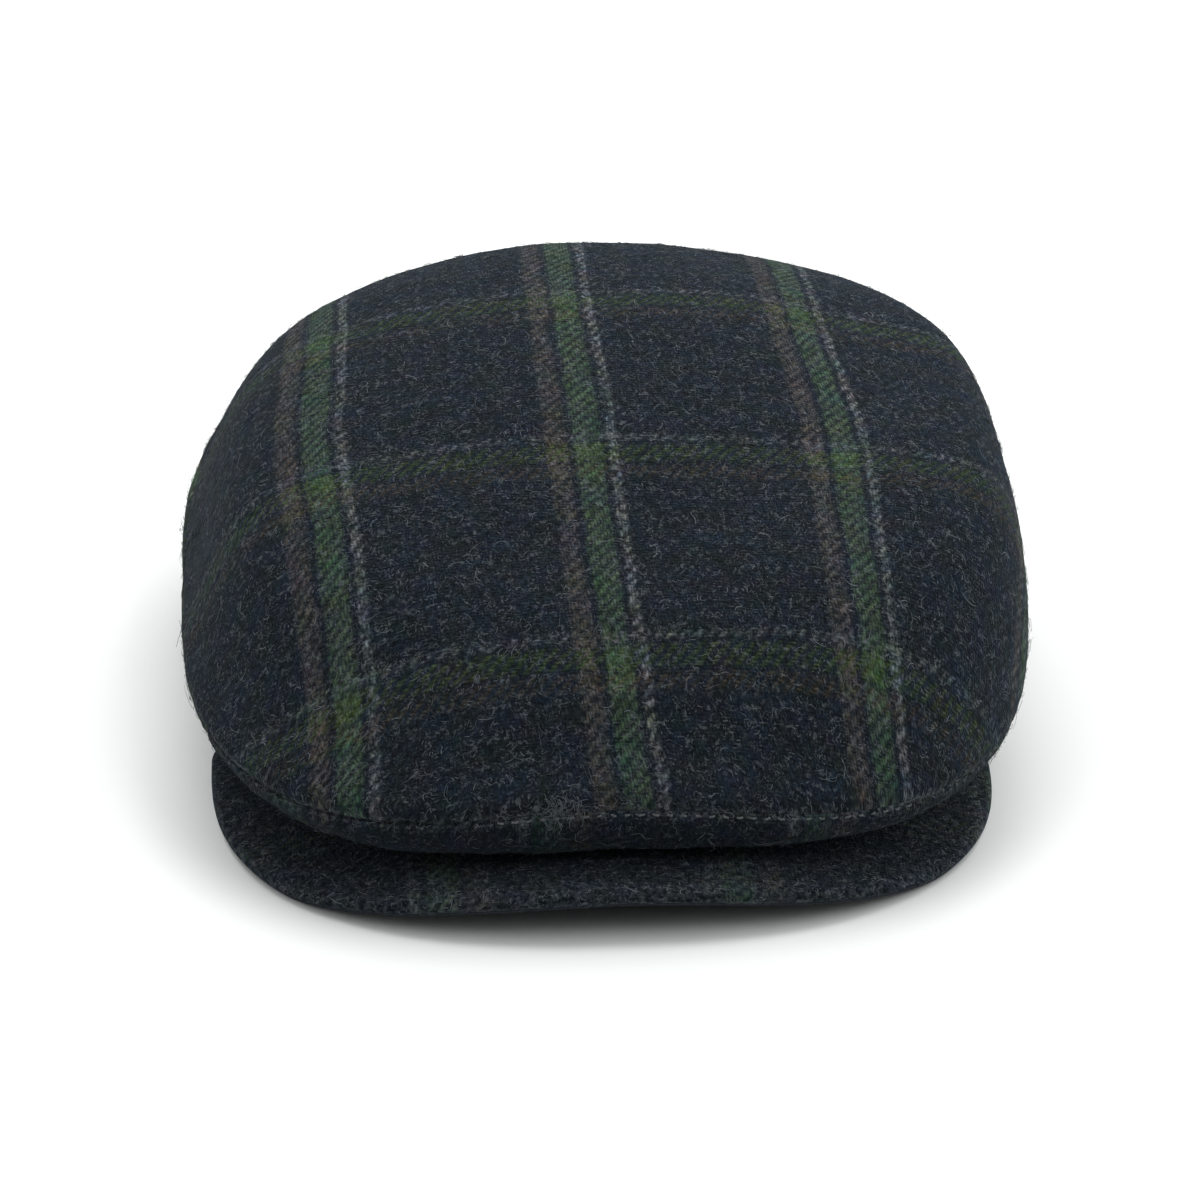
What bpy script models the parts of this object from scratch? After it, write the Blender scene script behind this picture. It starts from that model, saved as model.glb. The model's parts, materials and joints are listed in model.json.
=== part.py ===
"""A flat cap of checked wool twill, resting on a table as it would by itself.

The cap is modelled in metres with +Z up. Its front is towards -Y and its left, seen from the front,
is towards -X. The origin is on the table, under the middle of the cap's bounding box.

One master surface gives the outside of the crown. It is a stack of rings, from the hem round the head
opening, out over the bulging side and up to the crest. The top panel, the two side panels and the
front band are cut out of that surface along the seams, and are thickened inwards into cloth. The
peak is a crescent between the front of the head opening and its own outer edge, with one cloth on
top, rolled over the edge, and one below.
"""

import math
from collections import namedtuple

import bmesh
import bpy
import numpy as np

MM = 0.001

# ---------------------------------------------------------------------------------------------
# Driving dimensions
# ---------------------------------------------------------------------------------------------

CROWN_CLOTH = 2.0 * MM
PEAK_CLOTH = 1.6 * MM
PEAK_THICKNESS = 4.6 * MM
SEAM_GAP = 0.35 * MM

# The rings of the crown's outer surface, in millimetres, from the hem up to the crest.
# half_width: half the ring's width; x_mid: how far its middle is shifted to the right.
# y_front, y_mid, y_back: its front end, its widest place and its back end.
# z_front, z_side, z_back: its heights there; lean: how much its right side is higher than its middle.
# square: 2 for an ellipse, more for a ring with fuller corners.
# arch: how far the middle of its front stands up over the arched peak.
Ring = namedtuple(
    "Ring", "name half_width x_mid y_front y_mid y_back z_front z_side z_back lean square arch"
)
RINGS = (
    Ring("hem", 79.0, 0.0, -81.0, 13.5, 111.0, 22.0, 0.0, 0.0, 0.0, 2.2, 0.0),
    Ring("rim", 84.0, 0.0, -86.0, 13.5, 116.0, 21.5, 0.0, 0.0, 0.0, 2.2, 0.0),
    Ring("under", 98.8, 0.1, -117.1, 15.4, 128.0, 13.0, 16.2, 12.0, 1.0, 2.9, 3.6),
    Ring("bulge", 109.4, -0.8, -123.7, 19.5, 132.0, 23.4, 28.5, 32.3, -1.2, 3.3, 7.0),
    Ring("wall", 107.5, 2.6, -113.6, 7.7, 133.0, 37.2, 45.1, 58.9, 0.0, 2.9, 2.2),
    Ring("shoulder", 98.2, 4.7, -87.4, 16.2, 125.0, 59.2, 71.7, 74.2, 2.0, 2.5, 0.0),
    Ring("top_outer", 73.0, 2.5, -45.2, 26.0, 104.0, 75.5, 83.1, 88.1, 0.0, 2.3, 0.0),
    Ring("top_inner", 38.1, 2.1, -4.0, 35.0, 76.0, 88.0, 92.3, 94.4, 0.0, 2.1, 0.0),
    Ring("crest", 0.0, 2.1, 38.0, 38.0, 38.0, 94.8, 94.8, 94.8, 0.0, 2.0, 0.0),
)
HEM, RIM, UNDER, BULGE, WALL, SHOULDER, TOP_OUTER, TOP_INNER, CREST = range(len(RINGS))
ARCH_NARROWNESS = 16

# The seam between the top panel and the band and sides lies on the bulge ring at the front and
# climbs towards the back of the cap, by this share of a ring spacing, and mostly near the back.
SEAM_CLIMB = 1.1
SEAM_CLIMB_DELAY = 1.5

# Where the front band ends and the side panels begin, from the middle of the front, + to the right.
BAND_LEFT = -50.0
BAND_RIGHT = 65.0

# The peak: a rounded outer edge, drawn about a point between its tips, from one tip to the other.
# Its middle is arched up off the table, and its tips and sides rest there.
PEAK_X_MID = -2.4 * MM
PEAK_Y_MID = -40.0 * MM
PEAK_HALF_WIDTH = 100.5 * MM
PEAK_REACH = 93.5 * MM
PEAK_TIP_REACH = 25.0 * MM
PEAK_SQUARE = 2.7
PEAK_ARCH = 8.5 * MM
PEAK_ARCH_END = 50.0
PEAK_ARCH_FADE = 1.5
PEAK_SWEEP = 98.0
PEAK_INNER_SWEEP = 65.0
PEAK_INNER_RING = RIM + 0.1
PEAK_SAG = 1.2 * MM
# Where the two cloths of the peak meet on its rolled edge: 0 is outermost, -90 is the bottom.
PEAK_SEAM_ANGLE = -35.0

# How finely the surfaces are divided. A narrow strip runs along each seam of the crown, so that
# the walls on both sides of a seam are square to the same surface.
STEP = 5.0
SEAM_STRIP = 0.5 * MM
WALL_ROWS = 12
TOP_ROWS = 12
TOP_CROWDING = 1.25
PEAK_COLUMNS = 40
PEAK_ROWS = 6
ROLL_ROWS = 7
UNDER_ROLL_ROWS = 4
ROLL_CROWDING = 2.2
MERGE_DISTANCE = 0.01 * MM

NAVY_TWILL = (0.012, 0.017, 0.028)
DARK_TWILL = (0.010, 0.014, 0.022)


# ---------------------------------------------------------------------------------------------
# The master surface of the crown
# ---------------------------------------------------------------------------------------------


def ring_rows():
    """The table as numbers, in metres, with two rows mirrored past the crest to keep it smooth."""
    rows = [list(ring[1:]) for ring in RINGS]
    for ring in (RINGS[TOP_INNER], RINGS[TOP_OUTER]):
        beyond = ring._replace(
            half_width=-ring.half_width,
            y_front=ring.y_back,
            y_back=ring.y_front,
            z_front=ring.z_back,
            z_back=ring.z_front,
            lean=-ring.lean,
        )
        rows.append(list(beyond[1:]))
    table = np.array(rows)
    lengths = [i for i, field in enumerate(Ring._fields[1:]) if field != "square"]
    table[:, lengths] *= MM
    return table


def spline_bends(rows):
    """Second derivatives of the natural cubic spline through evenly spaced rows."""
    count = len(rows)
    matrix = np.eye(count)
    right = np.zeros_like(rows)
    for i in range(1, count - 1):
        matrix[i, i - 1 : i + 2] = (1.0, 4.0, 1.0)
        right[i] = 6.0 * (rows[i + 1] - 2.0 * rows[i] + rows[i - 1])
    return np.linalg.solve(matrix, right)


ROWS = ring_rows()
BENDS = np.vstack([np.zeros_like(ROWS[:RIM]), spline_bends(ROWS[RIM:])])


def ring_at(position):
    """The ring's sizes at any position: straight across the hem, and smooth from the rim on."""
    low = min(max(int(math.floor(position)), 0), len(RINGS) - 2)
    t = position - low
    s = 1.0 - t
    values = (
        s * ROWS[low]
        + t * ROWS[low + 1]
        + ((s**3 - s) * BENDS[low] + (t**3 - t) * BENDS[low + 1]) / 6.0
    )
    return Ring("", *values)


def crown_point(degrees, position):
    """A point of the crown's outside, by direction from the front and by ring position."""
    ring = ring_at(position)
    c = math.cos(math.radians(degrees))
    s = math.sin(math.radians(degrees))
    reach = ring.y_mid - ring.y_front if c > 0 else ring.y_back - ring.y_mid
    wide = max(ring.half_width, 1e-9)
    deep = max(reach, 1e-9)
    radius = ((abs(s) / wide) ** ring.square + (abs(c) / deep) ** ring.square) ** (-1.0 / ring.square)
    height = (
        ring.z_side
        + (ring.z_front - ring.z_back) / 2.0 * c
        + ((ring.z_front + ring.z_back) / 2.0 - ring.z_side) * c * c
        + ring.lean * s
        + ring.arch * max(c, 0.0) ** ARCH_NARROWNESS
    )
    return np.array((ring.x_mid + radius * s, ring.y_mid - radius * c, max(height, 0.0)))


def seam_position(degrees):
    """Ring position of the seam round the top panel."""
    back = (1.0 - math.cos(math.radians(degrees))) / 2.0
    return BULGE + SEAM_CLIMB * back**SEAM_CLIMB_DELAY


def ring_share(degrees, position, distance):
    """How much of a ring spacing a distance along the surface is, at a place."""
    step = 0.01
    along = crown_point(degrees, position + step) - crown_point(degrees, position - step)
    return distance * 2.0 * step / float(np.linalg.norm(along))


def angle_share(degrees, position, distance):
    """How many degrees a distance round the surface is, at a place."""
    step = 0.1
    around = crown_point(degrees + step, position) - crown_point(degrees - step, position)
    return distance * 2.0 * step / float(np.linalg.norm(around))


# ---------------------------------------------------------------------------------------------
# The peak
# ---------------------------------------------------------------------------------------------


def peak_outer(degrees):
    """The underside of the peak's outer edge, by direction from the point between its tips."""
    c = math.cos(math.radians(degrees))
    s = math.sin(math.radians(degrees))
    reach = PEAK_REACH if c > 0 else PEAK_TIP_REACH
    radius = (
        (abs(s) / PEAK_HALF_WIDTH) ** PEAK_SQUARE + (abs(c) / reach) ** PEAK_SQUARE
    ) ** (-1.0 / PEAK_SQUARE)
    lift = PEAK_ARCH * max(0.0, 1.0 - (degrees / PEAK_ARCH_END) ** 2) ** PEAK_ARCH_FADE
    return np.array((PEAK_X_MID + radius * s, PEAK_Y_MID - radius * c, lift))


def peak_inner(degrees):
    """The underside of the peak's inner edge, which lies just under the crown's rim."""
    around = degrees * PEAK_INNER_SWEEP / PEAK_SWEEP
    point = crown_point(around, PEAK_INNER_RING)
    point[2] = max(point[2] - PEAK_THICKNESS - 2.0 * SEAM_GAP, 0.0)
    return point


def edge_normal(degrees):
    """The level direction square to the peak's outer edge, pointing out."""
    step = 0.5
    along = peak_outer(degrees + step) - peak_outer(degrees - step)
    normal = np.array((along[1], -along[0], 0.0))
    return normal / np.linalg.norm(normal)


def on_roll(degrees, roll_angle):
    """A point of the peak's rolled edge, from -90 at the bottom to 90 at the top."""
    out = edge_normal(degrees)
    radius = PEAK_THICKNESS / 2.0
    middle = peak_outer(degrees) - out * radius
    middle[2] += radius
    angle = math.radians(roll_angle)
    point = middle + out * radius * math.cos(angle)
    point[2] += radius * math.sin(angle)
    return point


def peak_face(degrees, share, height):
    """A point of the peak's face, from the outer edge (0) to the inner edge (1)."""
    start = peak_outer(degrees) - edge_normal(degrees) * PEAK_THICKNESS / 2.0
    point = start + (peak_inner(degrees) - start) * share
    sag = PEAK_SAG * max(math.cos(math.radians(degrees)), 0.0) ** 2
    point[2] += height - sag * math.sin(math.pi * share)
    return point


# ---------------------------------------------------------------------------------------------
# Making the pieces
# ---------------------------------------------------------------------------------------------


def cloth_material(name, colour):
    """A rough, slightly sheened wool."""
    material = bpy.data.materials.new(name)
    material.use_nodes = True
    shader = material.node_tree.nodes["Principled BSDF"]
    shader.inputs["Base Color"].default_value = (*colour, 1.0)
    shader.inputs["Roughness"].default_value = 0.95
    shader.inputs["Metallic"].default_value = 0.0
    shader.inputs["Sheen Weight"].default_value = 0.3
    return material


def cloth_piece(name, columns, rows, point_at, thickness, colour, collection):
    """A grid laid on a surface and thickened inwards. point_at takes two shares from 0 to 1."""
    mesh = bpy.data.meshes.new(name)
    shape = bmesh.new()
    bmesh.ops.create_grid(shape, x_segments=columns, y_segments=rows, size=0.5)
    for vertex in shape.verts:
        across = round((vertex.co.x + 0.5) * columns) / columns
        along = round((vertex.co.y + 0.5) * rows) / rows
        vertex.co = point_at(across, along)
    bmesh.ops.remove_doubles(shape, verts=shape.verts, dist=MERGE_DISTANCE)
    bmesh.ops.dissolve_degenerate(shape, edges=shape.edges, dist=MERGE_DISTANCE / 2.0)
    shape.to_mesh(mesh)
    shape.free()
    mesh.materials.append(cloth_material(name, colour))
    piece = bpy.data.objects.new(name, mesh)
    collection.objects.link(piece)
    wall = piece.modifiers.new("cloth", "SOLIDIFY")
    wall.thickness = thickness
    wall.offset = -1.0
    wall.use_even_offset = True
    mesh.shade_smooth()
    return piece


def top_panel(collection):
    """The whole top of the crown, from the seam up to the crest."""

    def point_at(across, along):
        degrees = -180.0 + 360.0 * (across % 1.0)
        seam = seam_position(degrees)
        edge = seam + ring_share(degrees, seam, SEAM_GAP / 2.0)
        row = round(along * TOP_ROWS)
        if row == 0:
            return crown_point(degrees, edge)
        low = edge + ring_share(degrees, seam, SEAM_STRIP)
        share = ((row - 1) / (TOP_ROWS - 1)) ** TOP_CROWDING
        return crown_point(degrees, low + (CREST - low) * share)

    columns = round(360.0 / STEP)
    cloth_piece("top_panel", columns, TOP_ROWS, point_at, CROWN_CLOTH, NAVY_TWILL, collection)


def wall_panel(name, start, end, collection):
    """A panel between the hem and the seam of the top panel, from one direction to another."""
    columns = round((end - start) / STEP) + 2

    def point_at(across, along):
        row = round(along * WALL_ROWS)
        column = round(across * columns)
        degrees = start + STEP * min(max(column - 1, 0), columns - 2)
        seam = seam_position(degrees)
        edge = seam - ring_share(degrees, seam, SEAM_GAP / 2.0)
        high = edge - ring_share(degrees, seam, SEAM_STRIP)
        position = edge if row == WALL_ROWS else HEM + (high - HEM) * row / (WALL_ROWS - 1)
        trim = angle_share(degrees, max(position, RIM), SEAM_GAP / 2.0)
        strip = angle_share(degrees, max(position, RIM), SEAM_STRIP)
        inset = {0: trim, 1: trim + strip, columns - 1: -trim - strip, columns: -trim}
        return crown_point(degrees + inset.get(column, 0.0), position)

    cloth_piece(name, columns, WALL_ROWS, point_at, CROWN_CLOTH, NAVY_TWILL, collection)


def peak_top(collection):
    """The upper cloth of the peak, rolled over the edge down to the seam."""
    rows = ROLL_ROWS + PEAK_ROWS

    def point_at(across, along):
        degrees = PEAK_SWEEP * (2.0 * across - 1.0)
        row = round(along * rows)
        if row <= ROLL_ROWS:
            share = (row / ROLL_ROWS) ** ROLL_CROWDING
            return on_roll(degrees, PEAK_SEAM_ANGLE + (90.0 - PEAK_SEAM_ANGLE) * share)
        return peak_face(degrees, (row - ROLL_ROWS) / PEAK_ROWS, PEAK_THICKNESS)

    cloth_piece("peak_top", PEAK_COLUMNS, rows, point_at, PEAK_CLOTH, NAVY_TWILL, collection)


def peak_under(collection):
    """The lower cloth of the peak, from its inner edge out to the seam on the rolled edge."""
    rows = UNDER_ROLL_ROWS + PEAK_ROWS
    gap_angle = math.degrees(SEAM_GAP / (PEAK_THICKNESS / 2.0))
    seam_angle = PEAK_SEAM_ANGLE - gap_angle

    def point_at(across, along):
        degrees = PEAK_SWEEP * (2.0 * across - 1.0)
        row = round(along * rows)
        if row >= PEAK_ROWS:
            share = 1.0 - (1.0 - (row - PEAK_ROWS) / UNDER_ROLL_ROWS) ** ROLL_CROWDING
            return on_roll(degrees, -90.0 + (seam_angle + 90.0) * share)
        return peak_face(degrees, 1.0 - row / PEAK_ROWS, 0.0)

    cloth_piece("peak_under", PEAK_COLUMNS, rows, point_at, PEAK_CLOTH, DARK_TWILL, collection)


def main():
    for old in list(bpy.data.objects):
        bpy.data.objects.remove(old, do_unlink=True)
    cap = bpy.data.collections.new("flat_cap")
    bpy.context.scene.collection.children.link(cap)
    top_panel(cap)
    wall_panel("front_band", BAND_LEFT, BAND_RIGHT, cap)
    wall_panel("side_panel_right", BAND_RIGHT, 180.0, cap)
    wall_panel("side_panel_left", -180.0, BAND_LEFT, cap)
    peak_top(cap)
    peak_under(cap)


main()
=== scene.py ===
"""A flat cap of checked wool twill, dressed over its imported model.

The crown's four panels and the two cloths of the peak are laid on the surfaces that the model's own
solids follow, with rolled seams, soft waves and a napped, woven finish.
"""

import json
import math

import bpy
import numpy as np
from bpy.props import FloatProperty, FloatVectorProperty, IntProperty, PointerProperty
from mathutils import Euler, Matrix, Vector, noise

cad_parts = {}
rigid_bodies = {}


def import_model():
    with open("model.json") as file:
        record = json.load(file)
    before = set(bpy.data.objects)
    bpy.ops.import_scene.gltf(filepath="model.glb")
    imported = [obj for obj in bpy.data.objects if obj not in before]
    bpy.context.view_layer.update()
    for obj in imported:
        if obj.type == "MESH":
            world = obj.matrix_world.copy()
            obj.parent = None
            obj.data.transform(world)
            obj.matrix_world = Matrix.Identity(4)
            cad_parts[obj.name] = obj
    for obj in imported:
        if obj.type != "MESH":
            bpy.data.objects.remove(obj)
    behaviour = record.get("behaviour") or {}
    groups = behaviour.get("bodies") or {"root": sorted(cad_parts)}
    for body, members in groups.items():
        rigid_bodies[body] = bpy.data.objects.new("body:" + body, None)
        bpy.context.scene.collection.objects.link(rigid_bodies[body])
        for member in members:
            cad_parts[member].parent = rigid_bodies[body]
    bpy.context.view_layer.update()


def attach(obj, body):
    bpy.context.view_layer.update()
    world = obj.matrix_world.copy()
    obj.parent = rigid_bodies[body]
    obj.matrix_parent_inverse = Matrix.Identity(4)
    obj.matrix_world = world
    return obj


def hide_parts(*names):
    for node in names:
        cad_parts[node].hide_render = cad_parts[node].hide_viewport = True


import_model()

bl_info = {
    "name": "Flat Cap",
    "version": (1, 0, 0),
    "blender": (4, 5, 0),
    "location": "3D View > Sidebar > Flat Cap",
    "description": "Builds a flat cap of checked wool twill, piece by piece",
    "category": "Object",
}

MM = 0.001
BODY = "root"

# ---- The surface of the crown and the peak, as the model has it ----

# Rings of the crown's outside, in millimetres, from the hem up to the crest: half width, middle
# across, front, widest place, back, heights at the front, side and back, lean, squareness, arch.
RINGS = (
    (79.0, 0.0, -81.0, 13.5, 111.0, 22.0, 0.0, 0.0, 0.0, 2.2, 0.0),
    (84.0, 0.0, -86.0, 13.5, 116.0, 21.5, 0.0, 0.0, 0.0, 2.2, 0.0),
    (98.8, 0.1, -117.1, 15.4, 128.0, 13.0, 16.2, 12.0, 1.0, 2.9, 3.6),
    (109.4, -0.8, -123.7, 19.5, 132.0, 23.4, 28.5, 32.3, -1.2, 3.3, 7.0),
    (107.5, 2.6, -113.6, 7.7, 133.0, 37.2, 45.1, 58.9, 0.0, 2.9, 2.2),
    (98.2, 4.7, -87.4, 16.2, 125.0, 59.2, 71.7, 74.2, 2.0, 2.5, 0.0),
    (73.0, 2.5, -45.2, 26.0, 104.0, 75.5, 83.1, 88.1, 0.0, 2.3, 0.0),
    (38.1, 2.1, -4.0, 35.0, 76.0, 88.0, 92.3, 94.4, 0.0, 2.1, 0.0),
    (0.0, 2.1, 38.0, 38.0, 38.0, 94.8, 94.8, 94.8, 0.0, 2.0, 0.0),
)
WIDTH, MIDDLE, FRONT, WIDEST, BACK, LOW, SIDE, HIGH, LEAN, SQUARE, ARCH = range(11)
HEM, RIM, BULGE, TOP_OUTER, TOP_INNER, CREST = 0, 1, 3, 6, 7, 8
ARCH_NARROWNESS = 16
SEAM_CLIMB = 1.1
SEAM_CLIMB_DELAY = 1.5
BAND_LEFT = -50.0
BAND_RIGHT = 65.0
TINY = 1e-9

PEAK_MIDDLE = (-2.4 * MM, -40.0 * MM)
PEAK_HALF_WIDTH = 100.5 * MM
PEAK_REACH = 93.5 * MM
PEAK_TIP_REACH = 25.0 * MM
PEAK_SQUARE = 2.7
PEAK_ARCH = 8.5 * MM
PEAK_ARCH_END = 50.0
PEAK_ARCH_FADE = 1.5
PEAK_SWEEP = 98.0
PEAK_INNER_SWEEP = 65.0
PEAK_INNER_RING = RIM + 0.1
PEAK_SAG = 1.2 * MM
PEAK_THICKNESS = 4.6 * MM
PEAK_RADIUS = PEAK_THICKNESS / 2.0
PEAK_SEAM_ANGLE = -35.0
SEAM_GAP = 0.35 * MM


def ring_table():
    """The rings in metres, with two mirrored past the crest to keep the surface smooth there."""
    rows = [list(ring) for ring in RINGS]
    for ring in (TOP_INNER, TOP_OUTER):
        wide, mid, front, widest, back, low, side, high, lean, square, arch = RINGS[ring]
        rows.append([-wide, mid, back, widest, front, high, side, low, -lean, square, arch])
    table = np.array(rows)
    table[:, np.arange(table.shape[1]) != SQUARE] *= MM
    return table


def spline_bends(rows):
    """Second derivatives of the natural cubic spline through evenly spaced rows."""
    matrix = np.eye(len(rows))
    right = np.zeros_like(rows)
    for i in range(1, len(rows) - 1):
        matrix[i, i - 1 : i + 2] = (1.0, 4.0, 1.0)
        right[i] = 6.0 * (rows[i + 1] - 2.0 * rows[i] + rows[i - 1])
    return np.linalg.solve(matrix, right)


ROWS = ring_table()
BENDS = np.vstack([np.zeros_like(ROWS[:RIM]), spline_bends(ROWS[RIM:])])


def cos_sin(degrees):
    """The cosine and the sine of angles in degrees."""
    turn = np.radians(degrees)
    return np.cos(turn), np.sin(turn)


def unit(vectors):
    """The vectors, each made one long."""
    return vectors / np.linalg.norm(vectors, axis=-1, keepdims=True)


def run_along(points):
    """How far each point is from the first, along a line of points or each column of a grid."""
    steps = np.linalg.norm(np.diff(points, axis=0), axis=-1)
    return np.concatenate([np.zeros_like(steps[:1]), np.cumsum(steps, axis=0)])


def ring_at(position):
    """The ring's eleven sizes at any positions: straight across the hem, smooth from the rim on."""
    low = np.clip(np.floor(position).astype(int), HEM, CREST - 1)
    t = (position - low)[..., None]
    s = 1.0 - t
    bend = (s**3 - s) * BENDS[low] + (t**3 - t) * BENDS[low + 1]
    return np.moveaxis(s * ROWS[low] + t * ROWS[low + 1] + bend / 6.0, -1, 0)


def ring_depth(ring, ahead):
    """How far a ring reaches from its widest place, to the front where ahead is above nought."""
    deep = np.where(ahead > 0, ring[WIDEST] - ring[FRONT], ring[BACK] - ring[WIDEST])
    return np.maximum(deep, TINY)


def ring_height(ring, c, s):
    """The height of a ring in the direction with this cosine and sine from the front."""
    front, side, back = ring[LOW], ring[SIDE], ring[HIGH]
    round_it = side + (front - back) / 2.0 * c + ((front + back) / 2.0 - side) * c * c
    arch = ring[ARCH] * np.maximum(c, 0.0) ** ARCH_NARROWNESS
    return np.maximum(round_it + ring[LEAN] * s + arch, 0.0)


def oval_radius(c, s, wide, deep, square):
    """The radius of a squarish oval in the direction with this cosine and sine."""
    return ((abs(s) / wide) ** square + (abs(c) / deep) ** square) ** (-1.0 / square)


def crown_points(degrees, position):
    """Points of the crown's outside, by direction from the front and by ring position."""
    degrees, position = np.broadcast_arrays(
        np.asarray(degrees, float), np.asarray(position, float)
    )
    ring = ring_at(position)
    c, s = cos_sin(degrees)
    wide = np.maximum(ring[WIDTH], TINY)
    radius = oval_radius(c, s, wide, ring_depth(ring, c), ring[SQUARE])
    height = ring_height(ring, c, s)
    return np.stack((ring[MIDDLE] + radius * s, ring[WIDEST] - radius * c, height), -1)


def seam_position(degrees):
    """Ring position of the seam round the top panel."""
    back = (1.0 - cos_sin(degrees)[0]) / 2.0
    return BULGE + SEAM_CLIMB * back**SEAM_CLIMB_DELAY


def ring_share(degrees, position, step=0.01):
    """How much of a ring spacing a metre up the surface is, at each place."""
    up = crown_points(degrees, position + step) - crown_points(degrees, position - step)
    return 2.0 * step / np.linalg.norm(up, axis=-1)


def angle_share(degrees, position, step=0.1):
    """How many degrees a metre round the surface is, at each place."""
    around = crown_points(degrees + step, position) - crown_points(degrees - step, position)
    return 2.0 * step / np.linalg.norm(around, axis=-1)


def peak_outer(degrees):
    """The underside of the peak's outer edge, by direction from the point between its tips."""
    c, s = cos_sin(degrees)
    reach = np.where(c > 0, PEAK_REACH, PEAK_TIP_REACH)
    radius = oval_radius(c, s, PEAK_HALF_WIDTH, reach, PEAK_SQUARE)
    lift = PEAK_ARCH * np.maximum(0.0, 1.0 - (degrees / PEAK_ARCH_END) ** 2) ** PEAK_ARCH_FADE
    return np.stack((PEAK_MIDDLE[0] + radius * s, PEAK_MIDDLE[1] - radius * c, lift), -1)


def peak_inner(degrees):
    """The underside of the peak's inner edge, which lies just under the crown's rim."""
    point = crown_points(degrees * PEAK_INNER_SWEEP / PEAK_SWEEP, PEAK_INNER_RING)
    point[..., 2] = np.maximum(point[..., 2] - PEAK_THICKNESS - 2.0 * SEAM_GAP, 0.0)
    return point


def edge_normal(degrees, step=0.5):
    """The level direction square to the peak's outer edge, pointing out."""
    along = peak_outer(degrees + step) - peak_outer(degrees - step)
    return unit(np.stack((along[..., 1], -along[..., 0], 0.0 * along[..., 0]), -1))


def on_roll(degrees, roll_angle):
    """Points of the peak's rolled edge, from -90 at the bottom to 90 at the top."""
    turn = math.radians(roll_angle)
    inward = edge_normal(degrees) * (PEAK_RADIUS * (1.0 - math.cos(turn)))
    point = peak_outer(degrees) - inward
    point[..., 2] += PEAK_RADIUS * (1.0 + math.sin(turn))
    return point


def peak_face(degrees, share, height):
    """Points of the peak's face, from the outer edge (0) to the inner edge (1)."""
    start = peak_outer(degrees) - edge_normal(degrees) * PEAK_RADIUS
    point = start + (peak_inner(degrees) - start) * share
    sag = PEAK_SAG * np.maximum(cos_sin(degrees)[0], 0.0) ** 2
    point[..., 2] += height - sag * math.sin(math.pi * share)
    return point


# ---- How the cloth lies on those surfaces ----

# Where the green stripe down the middle of the crown lies, in millimetres, along the crown.
STRIPE_PLACE = (-4.3, -1.6, 1.3)
STRIPE_EASE = 0.43
# How the stripes wander from those even lines: a shift in millimetres and a share of the width, as
# cubics of the distance along the crown in tenths of a metre. Behind the middle they level off
# softly, towards what they are at the distance that is named last.
CLOTH_SHIFT = (-3.58, -4.09, -2.55, -0.74)
CLOTH_SPREAD = (-0.2075, -0.3142, -0.0801, 0.0202)
LEVEL_SOFTNESS = 0.13
CLOTH_LEVEL = 0.28
# The green stripe across the crown that its lengthwise pattern is measured from.
CROSS_STRIPE_Y = -25.6 * MM
# The point that the stripes of the side panels fan out from, seen from above.
CROWN_MIDDLE = (0.0, 10.0 * MM)
# The cloths of the band and of the peak are turned round. These are their green stripes.
BAND_STRIPE = -19.0 * MM
BAND_CROSS = 5.2 * MM
SIDE_STRIPE = 12.0 * MM
SIDE_CROSS = 1.5 * MM
PEAK_STRIPES = (-45.5 * MM, -90.5 * MM)
PEAK_SPREAD = 66.4 / 71.7
# How finely the crown's lines are followed to measure the cloth: its front, its back, one slice
# across, and once round.
FRONT_STEPS, BACK_STEPS, SLICE_STEPS, ROUND_STEPS = 400, 300, 40, 721


def top_panel_cloth(points, position):
    """Where each point of the top panel lies in its flat cloth: across and along, in metres.

    The cloth's cross threads lie in level slices across the cap. Across, it is measured along the
    slice from the middle line, and along, on the middle line itself.
    """
    line = np.linspace(BULGE, CREST, FRONT_STEPS)
    back = crown_points(180.0, np.linspace(CREST, BULGE + SEAM_CLIMB, BACK_STEPS))
    middle = np.vstack([crown_points(0.0, line), back[1:]])
    order = np.argsort(middle[:, 1])
    run = run_along(middle)[order]
    y = points[:, 1]
    length = np.interp(y, middle[order, 1], run)
    length -= np.interp(CROSS_STRIPE_Y, middle[order, 1], run)

    back_line = np.linspace(BULGE + SEAM_CLIMB, CREST, FRONT_STEPS)
    front_ring = np.interp(y, ring_at(line)[FRONT], line)
    back_ring = np.interp(y, ring_at(back_line)[BACK][::-1], back_line[::-1])
    start = np.where(y < ROWS[CREST][WIDEST], front_ring, back_ring)
    start = np.maximum(start, position)
    steps = np.linspace(0.0, 1.0, SLICE_STEPS) ** 3
    ring = ring_at(start[:, None] + (position - start)[:, None] * steps)
    ahead = ring[WIDEST] - y[:, None]
    reach = np.minimum(abs(ahead) / ring_depth(ring, ahead), 1.0)
    inside = np.clip(1.0 - reach ** ring[SQUARE], 0.0, 1.0)
    across = np.maximum(ring[WIDTH], 0.0) * inside ** (1.0 / ring[SQUARE])
    from_middle = points[:, 0] - ring_at(position)[MIDDLE]
    side = np.where(from_middle >= 0.0, 1.0, -1.0)
    x = ring[MIDDLE] + side[:, None] * across
    turn = np.arctan2(side[:, None] * across, ahead)
    z = ring_height(ring, np.cos(turn), np.sin(turn))
    width = np.hypot(np.diff(x, axis=1), np.diff(z, axis=1)).sum(axis=1)
    width = np.maximum(width, abs(from_middle)) * side

    down = y / (100.0 * MM)
    stripe = (STRIPE_PLACE[0] + STRIPE_PLACE[1] * down + STRIPE_PLACE[2] * down**2) * MM
    width -= stripe - ring_at(start)[MIDDLE]
    width += STRIPE_EASE * width**2
    past = np.exp((CLOTH_LEVEL - down) / LEVEL_SOFTNESS)
    down = CLOTH_LEVEL - LEVEL_SOFTNESS * np.log1p(past)
    width -= np.polyval(CLOTH_SHIFT, down) * MM + np.polyval(CLOTH_SPREAD, down) * width
    return np.stack((width, length), -1)


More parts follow.
